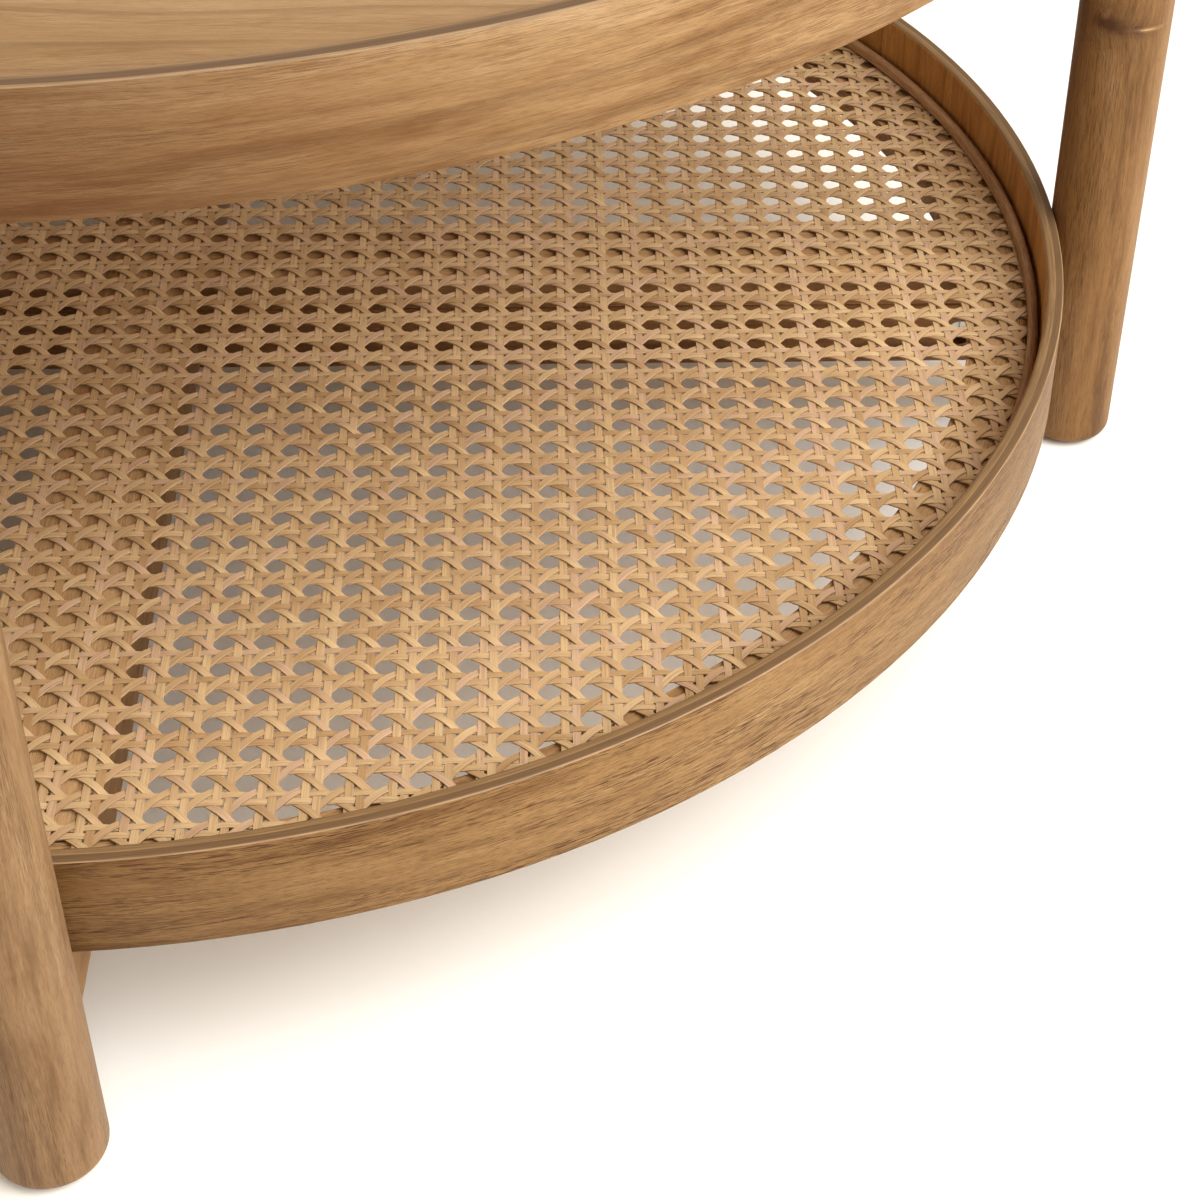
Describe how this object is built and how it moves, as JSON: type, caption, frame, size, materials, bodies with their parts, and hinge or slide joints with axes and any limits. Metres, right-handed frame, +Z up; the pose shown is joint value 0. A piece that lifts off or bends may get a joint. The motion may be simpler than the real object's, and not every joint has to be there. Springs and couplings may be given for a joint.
{
  "type": "round two-tier coffee table",
  "caption": "Low round wooden coffee table with a veneered top in a bent-wood hoop, a woven cane shelf in a second hoop, and four round legs outside the hoops.",
  "frame": {"origin": "on the floor under the centre of the table", "axes": "+Z up; +X and +Y through the right and back legs, along the cross rails"},
  "size_m": [0.75, 0.75, 0.333],
  "materials": {
    "board": "satin lacquered veneer",
    "hoop": "satin lacquered bent wood",
    "frame": "matt sealed wood",
    "leg": "satin lacquered turned wood",
    "bead": "matt wood strip",
    "cane": "natural rattan cane, semi-gloss skin",
    "steel": "zinc plated",
    "glide": "dark nylon"
  },
  "bodies": {
    "root": {"top_board": "board", "top_hoop": "hoop", "top_ring": "frame", "top_rail_x": "frame", "top_rail_y": "frame", "shelf_hoop": "hoop", "shelf_ring": "frame", "shelf_slat_x": "frame", "shelf_slat_y": "frame", "cane_panel": "cane", "cane_bead": "bead", "stretcher_x": "leg", "stretcher_y": "leg", "leg_right": "leg", "leg_back": "leg", "leg_left": "leg", "leg_front": "leg", "glide_right": "glide", "glide_back": "glide", "glide_left": "glide", "glide_front": "glide", "lower_stud_right": "steel", "upper_stud_right": "steel", "lower_nut_right": "steel", "upper_nut_right": "steel", "lower_stud_back": "steel", "upper_stud_back": "steel", "lower_nut_back": "steel", "upper_nut_back": "steel", "lower_stud_left": "steel", "upper_stud_left": "steel", "lower_nut_left": "steel", "upper_nut_left": "steel", "lower_stud_front": "steel", "upper_stud_front": "steel", "lower_nut_front": "steel", "upper_nut_front": "steel", "shelf_screw_x1": "steel", "shelf_screw_x2": "steel", "shelf_screw_y1": "steel", "shelf_screw_y2": "steel", "top_screw_1": "steel", "top_screw_2": "steel", "top_screw_3": "steel", "top_screw_4": "steel", "top_screw_5": "steel", "top_screw_6": "steel", "top_screw_7": "steel", "top_screw_8": "steel"}
  },
  "joints": []
}
